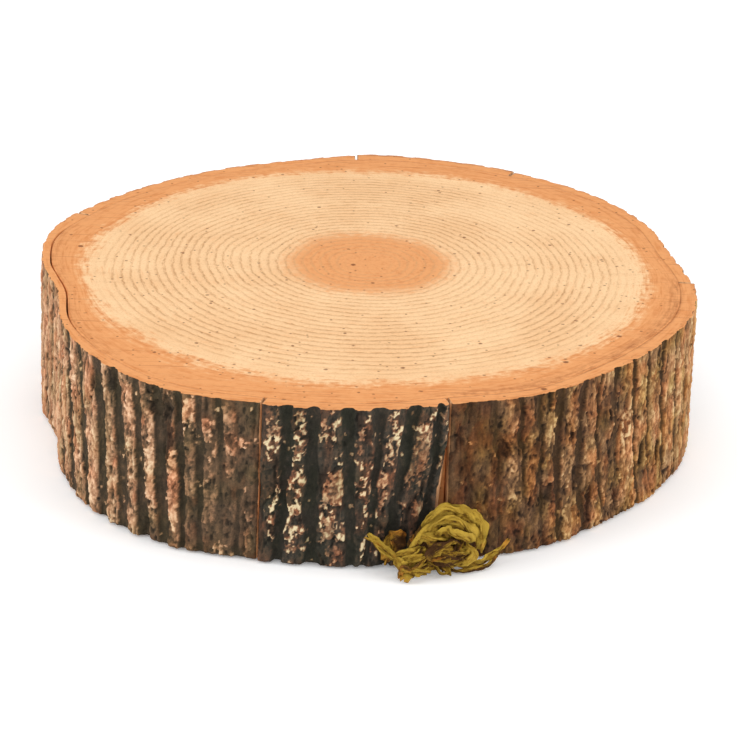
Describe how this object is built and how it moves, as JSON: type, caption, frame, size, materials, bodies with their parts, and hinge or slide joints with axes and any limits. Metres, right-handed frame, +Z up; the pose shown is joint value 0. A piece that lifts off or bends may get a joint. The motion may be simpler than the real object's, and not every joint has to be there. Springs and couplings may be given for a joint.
{
  "type": "wood slice",
  "caption": "Round slice of a tree trunk with growth rings, strips of bark glued round its edge and a small tuft of moss at its foot.",
  "frame": {"origin": "On the surface that the slice stands on, under the middle of its outline", "axes": "+Z up, -Y towards the front, where the moss tuft is, +X to the right seen from the front"},
  "size_m": [0.2934, 0.3243, 0.072],
  "materials": {
    "sawn_wood": "matt sawn end grain, pale with an orange heart and rim",
    "bark_ridged": "rough, long grey-brown ridges with dark furrows",
    "bark_lichened": "rough, near-black with cream lichen on the ridges",
    "bark_flaky": "rough, brown flaky plates",
    "moss": "matt olive-yellow curled ribbons"
  },
  "bodies": {
    "root": {"wood_disc": "sawn_wood", "bark_front": "bark_lichened", "bark_right": "bark_flaky", "bark_right_rear": "bark_flaky", "bark_rear": "bark_ridged", "bark_left_rear": "bark_ridged", "bark_left": "bark_ridged", "moss_tuft": "moss"}
  },
  "joints": []
}
